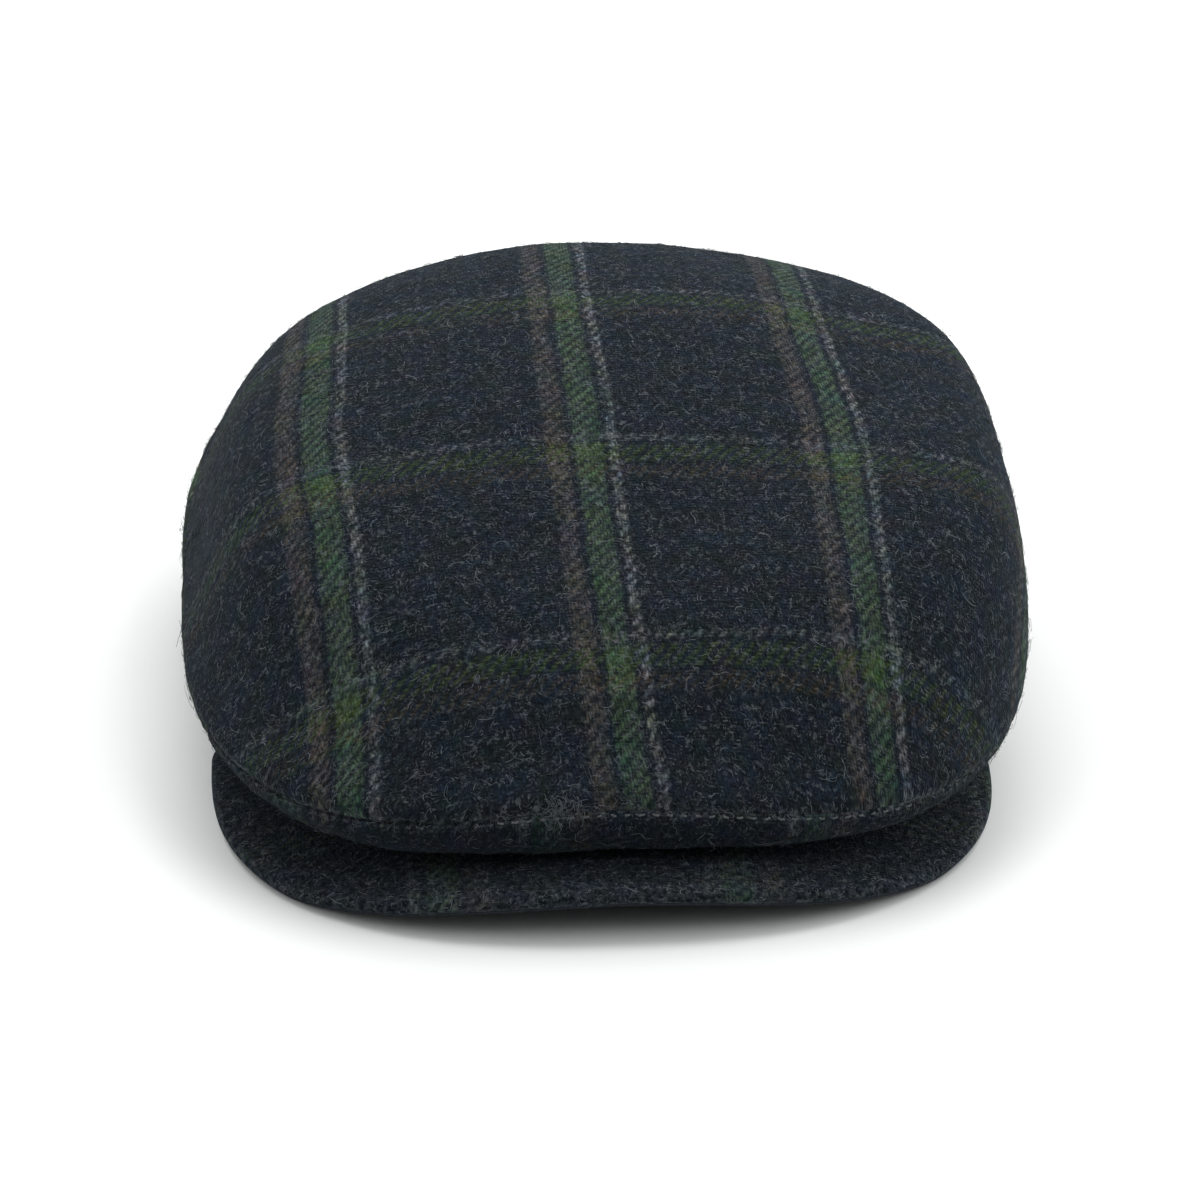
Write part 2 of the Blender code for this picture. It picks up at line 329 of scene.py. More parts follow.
def plan_angle(points):
    """The direction of points from the crown's middle, seen from above, in degrees from the front."""
    across = points[..., 0] - CROWN_MIDDLE[0]
    return np.degrees(np.arctan2(across, CROWN_MIDDLE[1] - points[..., 1]))


def round_crown(points, degrees):
    """The distance of points round the crown, as on its bulge, from the middle of the front."""
    fine = np.linspace(-180.0, 180.0, ROUND_STEPS)
    ring = crown_points(fine, BULGE + 0.0 * fine)
    along = run_along(ring)
    along -= np.interp(0.0, fine, along)
    turn = np.unwrap(plan_angle(ring), period=360.0)
    turn -= 360.0 * np.round(np.interp(0.0, fine, turn) / 360.0)
    angle = plan_angle(points)
    angle += 360.0 * np.round((degrees - angle) / 360.0)
    return np.interp(angle, turn, along)


# ---- Node trees ----

GEOMETRY = "NodeSocketGeometry"
MATERIAL = "NodeSocketMaterial"
VECTOR = "NodeSocketVector"
SOCKET_OF = {
    float: "NodeSocketFloat",
    int: "NodeSocketInt",
    tuple: "NodeSocketColor",
    "VALUE": "NodeSocketFloat",
    "RGBA": "NodeSocketColor",
    "GEOMETRY": GEOMETRY,
}
SHARED = {}


class Wire:
    """A node's output, its first one unless another is named. Sums of wires add Math nodes."""

    def __init__(self, node, name=None):
        usable = [socket for socket in node.outputs if socket.enabled]
        self.socket = usable[0] if name is None else next(s for s in usable if s.name == name)
        self.node = node
        self.tree = node.id_data

    def __getitem__(self, name):
        return Wire(self.node, name)

    def __add__(self, other):
        return calc("ADD", self, other)

    def __sub__(self, other):
        return calc("SUBTRACT", self, other)

    def __rsub__(self, other):
        return calc("SUBTRACT", other, self)

    def __mul__(self, other):
        return calc("MULTIPLY", self, other)

    def __truediv__(self, other):
        return calc("DIVIDE", self, other)

    def __rtruediv__(self, other):
        return calc("DIVIDE", other, self)

    def __abs__(self):
        return calc("ABSOLUTE", self)

    def clamped(self):
        """The same result, held between nought and one."""
        self.node.use_clamp = True
        return self


def put(node, inputs):
    """Fills a node's inputs, by name or in order, with values or wires."""
    usable = [socket for socket in node.inputs if socket.enabled]
    named = isinstance(inputs, dict)
    for key, value in inputs.items() if named else enumerate(inputs):
        socket = next(s for s in usable if s.name == key) if named else usable[key]
        if isinstance(value, Wire):
            node.id_data.links.new(value.socket, socket)
        else:
            socket.default_value = value


def add(tree, kind, inputs=(), **settings):
    """Adds a node with its settings and inputs."""
    node = tree.nodes.new(kind)
    for name, value in settings.items():
        setattr(node, name, value)
    put(node, inputs)
    return Wire(node)


def tree_of(values):
    """The node tree that the first wire among these values is in."""
    return next(value.tree for value in values if isinstance(value, Wire))


def calc(operation, *values):
    """A Math node's result."""
    return add(tree_of(values), "ShaderNodeMath", values, operation=operation)


def vector(operation, *values):
    """A Vector Math node's result."""
    return add(tree_of(values), "ShaderNodeVectorMath", values, operation=operation)


def xyz(tree, *values):
    """A vector of up to three values."""
    return add(tree, "ShaderNodeCombineXYZ", values)


def split(wire):
    """A vector's parts, named X, Y and Z."""
    return add(wire.tree, "ShaderNodeSeparateXYZ", [wire])


def mixed(share, first, second, blend="MIX"):
    """Two colours mixed."""
    values = (share, first, second)
    return add(tree_of(values), "ShaderNodeMix", values, data_type="RGBA", blend_type=blend)


def ranged(value, low, high, to_low=0.0, to_high=1.0, curve="LINEAR"):
    """A value carried from one range to another, and held inside it."""
    inputs = (value, low, high, to_low, to_high)
    return add(value.tree, "ShaderNodeMapRange", inputs, interpolation_type=curve)


def varied(grains, least, most):
    """What a noise mostly spans, carried to a range of its own."""
    return ranged(grains, 0.3, 0.7, least, most)


def grain(place, scale, detail=2.0, space="2D", **more):
    """A noise over the cloth or in space."""
    inputs = {"Vector": place, "Scale": scale, "Detail": detail, **more}
    return add(place.tree, "ShaderNodeTexNoise", inputs, noise_dimensions=space)


def new_group(name, kind, inputs):
    """An empty node group. Each input is its default, or the type of its socket."""
    group = bpy.data.node_groups.new(name, kind)
    for label, value in inputs.items():
        typed = isinstance(value, str)
        kind = value if typed else SOCKET_OF[type(value)]
        socket = group.interface.new_socket(label, in_out="INPUT", socket_type=kind)
        if not typed:
            socket.default_value = value
    return group, Wire(group.nodes.new("NodeGroupInput"))


def shader_group(name, inputs):
    """An empty shader group over a piece of cloth, with further inputs, and that cloth."""
    group, given = new_group(name, "ShaderNodeTree", {"Cloth": VECTOR, **inputs})
    return group, given, given["Cloth"]


def give(group, results):
    """Ends a node group with its outputs."""
    for label, wire in results.items():
        kind = SOCKET_OF[wire.socket.type]
        group.interface.new_socket(label, in_out="OUTPUT", socket_type=kind)
    put(group.nodes.new("NodeGroupOutput"), results)
    return group


def shared_group(make):
    """A node group that is built once."""
    if make.__name__ not in SHARED:
        SHARED[make.__name__] = make()
    return SHARED[make.__name__]


def use_group(tree, make, inputs):
    """Places a shader group in a tree."""
    return add(tree, "ShaderNodeGroup", inputs, node_tree=shared_group(make))


# ---- Finishes ----


def twill_group():
    """A two-and-two twill: which thread is on top, how high it stands, and by how much it leads."""
    sizes = {"Warp Pitch": 0.001, "Weft Pitch": 0.001, "Warp Share": 0.7, "Crispness": 0.4, "Fuzz": 0.5}
    group, given, cloth = shader_group("Twill Weave", sizes)
    across = split(cloth)["X"] / given["Warp Pitch"]
    along = split(cloth)["Y"] / given["Weft Pitch"]

    def thread(distance, within):
        wave = calc("COSINE", distance * (math.pi / 2.0))
        return wave * 0.5 + calc("SINE", within * math.pi) * 0.6

    over = thread(along - calc("FLOOR", across), calc("FRACT", across))
    under = thread(across - calc("FLOOR", along) + 1.0, calc("FRACT", along))
    lead = over - under
    broken = given["Fuzz"] * 1.4 + given["Warp Share"] - 0.7
    on_top = (lead * given["Crispness"] + broken).clamped()
    height = calc("MAXIMUM", over, under)
    return give(group, {"Warp On Top": on_top, "Height": height, "Rib": lead})


def stripes_group():
    """The stripes of one set of threads: brown, green and grey on the ground, with fuzzy edges."""
    sizes = {"Place": 0.0, "Repeat": 0.07, "Fuzz": 0.5, "Mottle": 0.5}
    places = {"Brown Place": -0.008, "Grey Place": 0.006}
    colours = {name: (0.0, 0.0, 0.0, 1.0) for name in ("Ground", "Brown", "Green", "Grey")}
    inputs = {**sizes, **places, **colours}
    group, given = new_group("Check Stripes", "ShaderNodeTree", inputs)
    middle = calc("FRACT", given["Place"] / given["Repeat"] + 0.5) - 0.5
    ragged = (given["Fuzz"] - 0.5) * (2.0 * MM) + middle * given["Repeat"]

    def stripe(at, half, soft, least):
        edges = ((half + soft) * MM, (half - soft) * MM)
        mask = ranged(abs(ragged - at), *edges, curve="SMOOTHSTEP")
        return (mask * ranged(given["Mottle"], 0.34, 0.6, least, 1.0)).clamped()

    brown = stripe(given["Brown Place"], 2.5, 0.9, 0.5)
    green = stripe(0.0, 3.3, 0.7, 0.75)
    grey = stripe(given["Grey Place"], 1.2, 0.6, 0.2)
    colour = mixed(brown, given["Ground"], given["Brown"])
    colour = mixed(green, colour, given["Green"])
    colour = mixed(grey, colour, given["Grey"])
    return give(group, {"Colour": colour, "Mask": calc("MAXIMUM", brown, green)})


def fibres_group():
    """Single curved fibres scattered over a cloth, one in each cell."""
    sizes = {"Spacing": 0.0015, "Length": 0.4, "Width": 0.05, "Curl": 1.0, "Shift": 0.0}
    group, given, cloth = shader_group("Scattered Fibres", sizes)
    scaled = vector("SCALE", cloth, 1.0 / given["Spacing"])
    place = vector("ADD", scaled, xyz(group, given["Shift"], given["Shift"]))
    inputs = {"Vector": place, "Scale": 1.0}
    cell = add(group, "ShaderNodeTexVoronoi", inputs, voronoi_dimensions="2D")
    chance = add(group, "ShaderNodeSeparateColor", [cell["Color"]])
    local = vector("SUBTRACT", place, cell["Position"])
    inputs = {"Vector": local, "Angle": chance["Red"] * (2.0 * math.pi)}
    part = split(add(group, "ShaderNodeVectorRotate", inputs, rotation_type="Z_AXIS"))
    bend = (chance["Green"] - 0.5) * given["Curl"]
    aside = bend * (part["X"] * part["X"]) + part["Y"]
    half = given["Length"] * (chance["Blue"] * 0.7 + 0.3)
    past = calc("MAXIMUM", abs(part["X"]) - half, 0.0)
    far = calc("SQRT", past * past + aside * aside)
    mask = ranged(far, given["Width"], given["Width"] * 0.3)
    return give(group, {"Mask": mask, "Shade": chance["Green"]})


def heather_group():
    """The unevenness of a carded wool: streaks along the threads, specks, slow clouds and tints."""
    sizes = {"Warp On Top": 0.5, "Streak": 0.0005, "Stretch": 3.0}
    group, given, cloth = shader_group("Heather", sizes)
    fine = 1.0 / given["Streak"]
    coarse = fine / given["Stretch"]

    def streaks(x, y):
        stretched = vector("MULTIPLY", cloth, xyz(group, x, y))
        return grain(stretched, 1.0, 1.5, Roughness=0.6)

    both = (given["Warp On Top"], streaks(coarse, fine), streaks(fine, coarse))
    results = {"Streaks": add(group, "ShaderNodeMix", both)}
    for name, scale, detail in (("Specks", 620.0, 2.0), ("Tufts", 260.0, 2.0), ("Clouds", 110.0, 3.0)):
        results[name] = grain(cloth, scale, detail, Roughness=0.6)
    results["Tint"] = grain(cloth, 130.0, Roughness=0.6)["Color"]
    return give(group, results)


def curls_group():
    """Curly light fibres lying in the nap: broken lines along the levels of a noise."""
    sizes = {"Size": 0.001, "Width": 0.03, "Share": 0.5}
    group, given, cloth = shader_group("Curly Fibres", sizes)
    scale = 1.0 / given["Size"]
    lines = grain(cloth, scale, 1.0, Distortion=0.4)
    line = ranged(abs(lines - 0.5), given["Width"], 0.0)
    breaks = grain(vector("ADD", cloth, (0.37, 0.19, 0.0)), scale * 0.8, 1.0)
    least = 0.72 - given["Share"] * 0.4
    kept = ranged(breaks, least, least + 0.08, curve="SMOOTHSTEP")
    return give(group, {"Mask": line * kept})


# Where two stripes cross, both their threads are dyed, so their colour is fuller.
CROSSING_GAIN = (1.20, 1.22, 1.02)
# The places of the brown and the grey stripe from the green one, in millimetres.
WARP_PLACES = (-7.8, 6.3)
WEFT_PLACES = (-7.2, 6.0)
# Fibres seen in the cloth, in layers: spacing in millimetres, then length, width, curl and shift in
# spacings, and strength.
FLECKS = (
    (0.95, 0.30, 0.115, 1.3, 0.0, 0.74),
    (1.70, 0.32, 0.068, 1.6, 5.3, 1.0),
    (3.20, 0.36, 0.038, 2.1, 11.9, 1.1),
    (6.00, 0.40, 0.021, 2.6, 23.1, 1.15),
)
# What the heather's tint multiplies the colour by: how strongly, and from what on.
TINT_GAIN = (0.8, 0.32, 0.95)
TINT_BASE = (0.6, 0.84, 0.525)
WANDER = 1.8 * MM
GREY = (0.5, 0.5, 0.5)


def solid(colour):
    """A colour with its alpha."""
    return (*colour, 1.0)


def mark(tree, name):
    """A value that is stored at each point of the cloth."""
    return add(tree, "ShaderNodeAttribute", attribute_name=name)["Fac"]


def new_material(name, values):
    """A material, its node tree and the steady values of its shader."""
    material = bpy.data.materials.new(name)
    material.use_nodes = True
    put(material.node_tree.nodes["Principled BSDF"], values)
    return material, material.node_tree


def new_wool(name, sheen, tint):
    """A material of napped wool."""
    values = {
        "Metallic": 0.0,
        "IOR": 1.4,
        "Specular IOR Level": 0.06,
        "Diffuse Roughness": 0.7,
        "Sheen Weight": sheen,
        "Sheen Roughness": 0.45,
        "Sheen Tint": solid(tint),
    }
    return new_material(name, values)


def finished(material, colour, rough, height=None, strength=0.7, depth=0.3 * MM):
    """Joins a colour, a roughness and a relief to a material's shader."""
    inputs = {"Base Color": colour, "Roughness": rough}
    if height is not None:
        relief = {"Strength": strength, "Distance": depth, "Height": height}
        inputs["Normal"] = add(height.tree, "ShaderNodeBump", relief)
    put(material.node_tree.nodes["Principled BSDF"], inputs)
    return material


def napped_check(check):
    """The cap's cloth: a napped heather twill with a brown, green and grey check, with painted shade
    where its marks call for it.
    """
    material, tree = new_wool("napped_check", check.sheen, (0.72, 0.86, 1.0))
    cloth = add(tree, "ShaderNodeUVMap", uv_map="cloth")
    drift = vector("SUBTRACT", grain(cloth, 90.0)["Color"], GREY)
    cloth = vector("ADD", cloth, vector("MULTIPLY", drift, (WANDER, WANDER, 0.0)))
    fuzz = grain(cloth, 1000.0, 1.5, Roughness=0.6)
    pitches = {"Warp Pitch": check.warp_pitch, "Weft Pitch": check.weft_pitch}
    weave = use_group(tree, twill_group, {"Cloth": cloth, "Fuzz": fuzz, **pitches})
    on_top = weave["Warp On Top"]
    heather = use_group(tree, heather_group, {"Cloth": cloth, "Warp On Top": on_top})

    def stripes(axis, threads, repeat, places):
        values = {
            "Place": split(cloth)[axis],
            "Repeat": repeat,
            "Fuzz": fuzz,
            "Mottle": heather["Specks"],
            "Brown Place": places[0] * MM,
            "Grey Place": places[1] * MM,
            "Ground": solid(check.ground),
        }
        for name in ("brown", "green", "grey"):
            values[name.title()] = solid(getattr(check, f"{threads}_{name}"))
        return use_group(tree, stripes_group, values)

    warp = stripes("X", "warp", check.warp_repeat, WARP_PLACES)
    weft = stripes("Y", "weft", check.weft_repeat, WEFT_PLACES)
    colour = mixed(on_top, weft["Colour"], warp["Colour"])
    richer = mixed(warp["Mask"] * weft["Mask"], (1.0, 1.0, 1.0, 1.0), solid(CROSSING_GAIN))
    colour = mixed(1.0, colour, richer, "MULTIPLY")
    # Stripes dulled towards the ground by this mark: fade, and on the front band painted shade.
    colour = mixed(mark(tree, "faded"), colour, solid(check.ground))
    worn = mark(tree, "worn")
    tone = varied(heather["Streaks"], 0.75, 1.25)
    tone *= varied(heather["Clouds"], 0.85, 1.15) * ranged(weave["Rib"], -0.8, 0.8, 0.87, 1.13)
    # The low places between the threads are darker: painted shade in the weave's hollows. The specks
    # vary at random.
    tone *= ranged(weave["Height"], -0.1, 0.9, 0.55, 1.25) * varied(heather["Specks"], 0.6, 1.4)
    # Below nought this mark darkens the colour: painted shade on the front band and in a line under its
    # seam. Above nought it is wear and leaves the colour.
    tone *= ranged(worn, -2.0, 0.0, 0.35, 1.0)
    tint = vector("MULTIPLY_ADD", heather["Tint"], TINT_GAIN, TINT_BASE)
    colour = mixed(1.0, vector("SCALE", colour, tone), tint, "MULTIPLY")

    curls = {"Cloth": cloth, "Size": 1.4 * MM, "Width": 0.09}
    flecks = use_group(tree, curls_group, curls) * 0.4
    for spacing, length, width, curl, shift, share in FLECKS:
        layer = {"Spacing": spacing * MM, "Length": length, "Width": width, "Curl": curl}
        fibres = use_group(tree, fibres_group, {"Cloth": cloth, "Shift": shift, **layer})
        mask = fibres["Mask"] * ranged(fibres["Shade"], 0.45, 1.0, 0.0, share)
        flecks = calc("MAXIMUM", flecks, mask)
    flecks *= ranged(heather["Tufts"], 0.36, 0.64, 0.2, 1.35)
    # Fewer light flecks where this mark is below nought, as painted shade, and more where the cloth is
    # rubbed.
    flecks = (flecks * (worn * 0.65 + 1.0)).clamped()
    light = mixed(0.35, solid(check.fleck), colour, "ADD")
    colour = mixed(flecks, colour, light)
    rubbed = (worn * ranged(heather["Specks"], 0.4, 0.65)).clamped()
    colour = mixed(rubbed * 0.5, colour, solid(check.warp_grey))
    height = flecks * 0.8 + (fuzz * 0.5 + weave["Height"])
    return finished(material, colour, varied(heather["Clouds"], 0.86, 0.98), height)


def plain_twill(check):
    """The plain dark twill under the peak."""
    material, tree = new_wool("plain_twill", 0.15, (0.8, 0.85, 1.0))
    cloth = add(tree, "ShaderNodeUVMap", uv_map="cloth")
    pitches = {"Warp Pitch": 0.6 * MM, "Weft Pitch": 0.7 * MM}
    weave = use_group(tree, twill_group, {"Cloth": cloth, **pitches})
    over = {"Cloth": cloth, "Warp On Top": weave["Warp On Top"]}
    heather = use_group(tree, heather_group, over)
    tone = ranged(heather["Streaks"], 0.25, 0.75, 0.6, 1.4)
    colour = vector("SCALE", check.dark, tone)
    rough = varied(heather["Clouds"], 0.85, 0.97)
    return finished(material, colour, rough, weave["Height"], 0.6, 0.2 * MM)


def loose_fibre(check):
    """Wool fibres standing off the cloth, some light and most dark."""
    material, tree = new_wool("loose_fibre", 0.1, (0.9, 0.95, 1.0))
    share = ranged(mark(tree, "shade"), 0.3, 1.0)
    colour = mixed(share * share, solid(check.ground), solid(check.fleck))
    spots = grain(add(tree, "ShaderNodeTexCoord")["Object"], 900.0, space="3D")
    return finished(material, colour, varied(spots, 0.75, 0.95))


def seam_thread(check):
    """The fluffy grey thread of the seams."""
    material, tree = new_wool("seam_thread", 0.1, (0.9, 0.95, 1.0))
    fluff = grain(add(tree, "ShaderNodeTexCoord")["Object"], 2200.0, 3.0, "3D")
    share = ranged(fluff, 0.3, 0.6, 0.35, 1.0)
    colour = mixed(share, solid(check.ground), solid(check.thread))
    return finished(material, colour, varied(fluff, 0.8, 1.0), fluff, depth=0.2 * MM)


def cap_material(make):
    """A finish of the cap, made the first time that it is asked for."""
    found = bpy.data.materials.get(make.__name__)
    return found or make(bpy.context.scene.flat_cap_check)


# ---- Loose fibres and stitches ----


def between(low, high, number, seed):
    """A random value for each element, always the same for the same seed."""
    seeded = add(seed.tree, "FunctionNodeInputInt", integer=number) + seed
    inputs = {"Min": low, "Max": high, "Seed": seeded}
    return add(seed.tree, "FunctionNodeRandomValue", inputs)


def stored(tree, name, kind="FLOAT"):
    """A value that a point or a curve carries."""
    return add(tree, "GeometryNodeInputNamedAttribute", {"Name": name}, data_type=kind)


def copies(points, curve, rotation, turn, scale):
    """Real copies of a curve on points, each turned about its own upright."""
    tree = points.tree
    inputs = {"Rotation": rotation, "Rotate By": xyz(tree, 0.0, 0.0, turn)}
    turned = add(tree, "FunctionNodeRotateRotation", inputs, rotation_space="LOCAL")
    inputs = {"Points": points, "Instance": curve, "Rotation": turned, "Scale": scale}
    placed = add(tree, "GeometryNodeInstanceOnPoints", inputs)
    return add(tree, "GeometryNodeRealizeInstances", [placed])


def tubes(curve, sides, radius, caps, material):
    """Round tubes along curves, as real faces in their material."""
    tree = curve.tree
    section = {"Resolution": sides, "Radius": 1.0}
    section = add(tree, "GeometryNodeCurvePrimitiveCircle", section)
    inputs = {"Curve": curve, "Profile Curve": section, "Scale": radius, "Fill Caps": caps}
    tube = add(tree, "GeometryNodeCurveToMesh", inputs)
    real = add(tree, "GeometryNodeRealizeInstances", [tube])
    return add(tree, "GeometryNodeSetMaterial", {"Geometry": real, "Material": material})


def fibre_tree():
    """Grows curved fibres all over a face of cloth, thicker where its "fuzz" is more."""
    inputs = {
        "Cloth": GEOMETRY,
        "Density": 50000.0,
        "Shortest": 0.001,
        "Longest": 0.003,
        "Thickness": 0.0001,
        "Rise": 0.0005,
        "Curl": 0.001,
        "Points": 5,
        "Seed": 1,
        "Material": MATERIAL,
    }
    tree, given = new_group("Wool Fibres", "GeometryNodeTree", inputs)
    seed = given["Seed"]
    fuzz = stored(tree, "fuzz")
    inputs = {"Mesh": given["Cloth"], "Density": given["Density"] * fuzz, "Seed": seed}
    spread = add(tree, "GeometryNodeDistributePointsOnFaces", inputs)
    tufted = ranged(fuzz, 3.0, 12.0, 0.0, 0.8)
    points = spread["Points"]
    for name, kind, value in (
        ("outward", "FLOAT_VECTOR", spread["Normal"]),
        ("rise", "FLOAT", between(0.1, 1.0, 11, seed)),
        ("shade", "FLOAT", (between(0.0, 1.0, 12, seed) + tufted).clamped()),
    ):
        inputs = {"Geometry": points, "Name": name, "Value": value}
        points = add(tree, "GeometryNodeStoreNamedAttribute", inputs, data_type=kind)
    ends = {"Start": (-0.5, 0.0, 0.0), "End": (0.5, 0.0, 0.0)}
    line = add(tree, "GeometryNodeCurvePrimitiveLine", ends)
    inputs = {"Curve": line, "Count": given["Points"]}
    line = add(tree, "GeometryNodeResampleCurve", inputs)
    turn = between(0.0, 2.0 * math.pi, 13, seed)
    size = between(given["Shortest"], given["Longest"], 14, seed)
    real = copies(points, line, spread["Rotation"], turn, size)

    factor = add(tree, "GeometryNodeSplineParameter")["Factor"]
    arch = calc("SINE", factor * (math.pi * 0.8)) * stored(tree, "rise") * given["Rise"]
    outward = stored(tree, "outward", "FLOAT_VECTOR")
    swirl = grain(add(tree, "GeometryNodeInputPosition"), 420.0, 1.0, "3D")["Color"]
    swirl = vector("SUBTRACT", swirl, GREY)
    swirl = vector("SUBTRACT", swirl, vector("PROJECT", swirl, outward))
    swirl = vector("SCALE", swirl, given["Curl"])
    moved = vector("ADD", vector("SCALE", outward, arch), swirl)
    bent = add(tree, "GeometryNodeSetPosition", {"Geometry": real, "Offset": moved})
    thin = ranged(factor, 0.5, 1.0, 1.0, 0.45) * (given["Thickness"] * 0.5)
    return give(tree, {"Fibres": tubes(bent, 3, thin, False, given["Material"])})


def stitch_tree():
    """Sets small arched stitches along a seam line."""
    inputs = {
        "Seam": GEOMETRY,
        "Pitch": 0.0033,
        "Length": 0.002,
        "Thickness": 0.0005,
        "Rise": 0.0004,
        "Unevenness": 0.25,
        "Seed": 1,
        "Material": MATERIAL,
    }
    tree, given = new_group("Seam Stitches", "GeometryNodeTree", inputs)
    seed = given["Seed"]
    line = add(tree, "GeometryNodeMeshToCurve", {"Mesh": given["Seam"]})
    inputs = {"Curve": line, "Length": given["Pitch"]}
    points = add(tree, "GeometryNodeCurveToPoints", inputs, mode="LENGTH")
    axes = {"primary_axis": "X", "secondary_axis": "Z"}
    facing = (points["Tangent"], stored(tree, "outward", "FLOAT_VECTOR"))
    facing = add(tree, "FunctionNodeAxesToRotation", facing, **axes)
    arc = {"Start": (-0.5, 0.0, -0.15), "Middle": (0.0, 0.0, 0.55), "End": (0.5, 0.0, -0.15)}
    arc = add(tree, "GeometryNodeCurveQuadraticBezier", {"Resolution": 5, **arc})
    size = xyz(tree, given["Length"], given["Length"], given["Rise"] * 2.0)
    uneven = between(1.0 - given["Unevenness"], given["Unevenness"] + 1.0, 22, seed)
    turn = between(-0.35, 0.35, 21, seed)
    real = copies(points["Points"], arc, facing, turn, vector("SCALE", size, uneven))
    radius = given["Thickness"] * 0.5
    return give(tree, {"Stitches": tubes(real, 6, radius, True, given["Material"])})


def linked(name, data):
    """A new object in the scene."""
    made = bpy.data.objects.new(name, data)
    bpy.context.scene.collection.objects.link(made)
    return made


def grown(name, source, make, values):
    """The plain mesh that a geometry node tree makes on a source mesh, as a new object."""
    tree = shared_group(make)
    carrier = linked(name + "_source", source)
    modifier = carrier.modifiers.new(name, "NODES")
    modifier.node_group = tree
    sockets = [item for item in tree.interface.items_tree if item.in_out == "INPUT"]
    identifiers = {socket.name: socket.identifier for socket in sockets}
    for label, value in values.items():
        modifier[identifiers[label]] = value
    graph = bpy.context.evaluated_depsgraph_get()
    mesh = bpy.data.meshes.new_from_object(carrier.evaluated_get(graph))
    bpy.data.objects.remove(carrier)
    if not mesh.polygons:
        raise RuntimeError(f"{name}: the geometry nodes made nothing")
    mesh.name = name
    mesh.shade_smooth()
    return linked(name, mesh)


# ---- Pieces of cloth ----

# Rows of points near a seam: the finest step, how many there are, and how far they reach. The first
# one is set in a little from the seam itself.
SEAM_ROWS = (0.22 * MM, 10, 7.0 * MM)
SEAM_INSET = 0.05 * MM
# How many columns and rows of points a piece has, and how its rows crowd towards one end. The
# walls' columns go by their spacing in degrees, and the peak's rows are those of its roll and face.
TOP_COLUMNS, TOP_ROWS, TOP_CROWDING = 256, 74, 1.12
WALL_SPACING, WALL_ROWS, WALL_CROWDING = 1.4, 31, 0.9
PEAK_COLUMNS, PEAK_CROWDING = 201, 1.15
PEAK_TOP_ROWS = (14, 42)
PEAK_UNDER_ROWS = (8, 31)
# Soft waves and puckers: shares of the softness and sizes in millimetres.
TOP_WAVES = ((1.0, 45.0), (0.4, 17.0))
TOP_PUCKERS = ((0.55, 6.5),)
WALL_PUCKERS = ((0.7, 22.0), (0.4, 7.0))
PEAK_WAVES = ((0.45, 28.0), (0.2, 9.0))
# How far from a seam they start, or end.
TOP_WAVES_START = 8.0 * MM
TOP_PUCKERS_END = 9.0 * MM
WALL_PUCKERS_START = 3.0 * MM
PEAK_WAVES_START = 4.0 * MM
# Knots of loose fibre: where, how wide and how thick. Near a seam there is more of the nap, and low
# down there is less.
TUFTS = (((-87.0, -92.0, 24.0), 2.2, 130.0), ((-16.0, -124.0, 31.0), 4.0, 22.0))
SEAM_FUZZ, SEAM_FUZZ_REACH = 1.6, 2.0 * MM
FUZZ_LOW = 3.0 * MM
# How rubbed the cloth is at a seam, and how far its stripes sink into its nap. On the front band, from
# a few millimetres below its seam on down, the colour is darkened and the stripes dulled: painted
# shade.
WORN, WORN_WIDTH = 0.7, 1.2 * MM
TOP_FADED, TOP_FADED_REACH = 0.2, 15.0 * MM
BAND_FADED, BAND_SHADE_FADED = 0.15, 0.5
BAND_SHADE_REACH = 2.5 * MM
PEAK_WORN, PEAK_FADED = 0.25, 0.45
# Left of this direction a dark line of painted shade, as in a crease, runs just under the front seam;
# the cloth has no crease in its shape. From it on, as far as the second one, the seam's stitches
# show, so many millimetres below it and so many deep in the cloth.
CREASE_END, CREASE_SOFTNESS = -12.0, 3.0
CREASE_DROP, CREASE_WIDTH, CREASE_SHADE = 0.45 * MM, 0.4 * MM, 2.5
STITCHED = (CREASE_END, 28.0)
SEAM_STEPS = 400
STITCH_DROP, STITCH_DEPTH = 1.1, 0.25


def bell(distance, width):
    """One at no distance, and falling away smoothly on both sides."""
    return np.exp(-((distance / width) ** 2))


def fading(distance, reach):
    """One at no distance, and falling away ever more slowly."""
    return np.exp(-distance / reach)


def waves(grid, softness, layers):
    """Soft waves of a cloth, in layers that each have a share of its softness and a size."""
    points = grid.reshape(-1, 3)
    height = np.zeros(len(points))
    for layer, (share, size) in enumerate(layers):
        depth = share * softness
        shift = Vector((3.7 * layer, 1.3, 5.1))
        places = (Vector(point) / (size * MM) + shift for point in points)
        height += [depth * noise.noise(place) for place in places]
    return height.reshape(grid.shape[:2])


def seam_steps():
    """Distances from a seam, close together at it and wider apart further in."""
    finest, count, longest = SEAM_ROWS
    share = np.linspace(0.0, 1.0, count)
    return finest * (count - 1) * share + (longest - finest * (count - 1)) * share**3


def seam_roll(distance, sizes):
    """How far the cloth dips into a seam, at a distance from it."""
    return -sizes.seam_depth * bell(distance, sizes.seam_roll)


def fuzz_near(points, distance, tufts):
    """How thick the loose fibres are: more along the seams, most in a few tufts, none at the floor."""
    fuzz = 1.0 + SEAM_FUZZ * fading(distance, SEAM_FUZZ_REACH)
    fuzz *= np.clip((points[..., 2] - FUZZ_LOW) / FUZZ_LOW, 0.0, 1.0)
    for place, radius, much in tufts:
        away = np.linalg.norm(points - np.array(place) * MM, axis=-1)
        fuzz += much * bell(away, radius * MM)
    return fuzz


def fill(data, name, values):
    """Gives every element its value of one kind."""
    data.foreach_set(name, np.asarray(values, np.float32).reshape(-1))


def values_of(data, name, *shape, kind=np.float32):
    """Every element's value of one kind."""
    values = np.empty((len(data), *shape), kind)
    data.foreach_get(name, values.reshape(-1))
    return values


